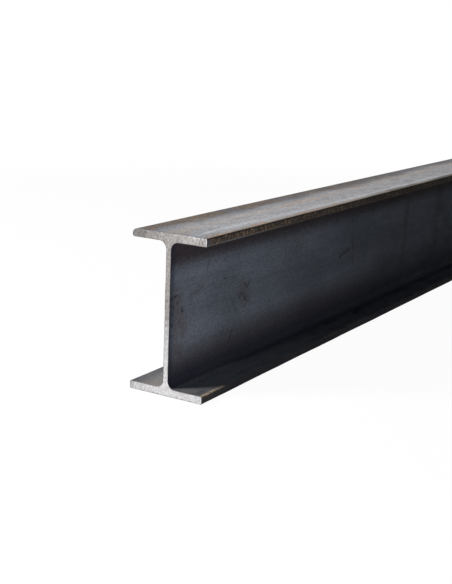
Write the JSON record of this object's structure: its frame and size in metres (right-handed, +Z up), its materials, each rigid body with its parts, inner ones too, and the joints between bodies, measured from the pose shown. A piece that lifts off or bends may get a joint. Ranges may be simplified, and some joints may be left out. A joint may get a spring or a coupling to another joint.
{
  "type": "steel i-beam",
  "caption": "Hot-rolled steel I-beam with parallel flanges, a thin web and rounded roots, dark with mill scale and sawn square at its ends; a bending member for frames, floors and lintels.",
  "frame": {"origin": "middle of the underside of the lower flange, halfway along the length", "axes": "+Y along the length, away from the sawn end that faces -Y; +X across the flanges, away from the round toe; +Z up, through the web to the upper flange"},
  "size_m": [0.073, 1, 0.14],
  "materials": {
    "mill_scale_steel": "dark blue-grey mill scale with brown rust along the flange edges, and bright saw-cut ends"
  },
  "bodies": {
    "root": {"i_beam": "mill_scale_steel"}
  },
  "joints": []
}
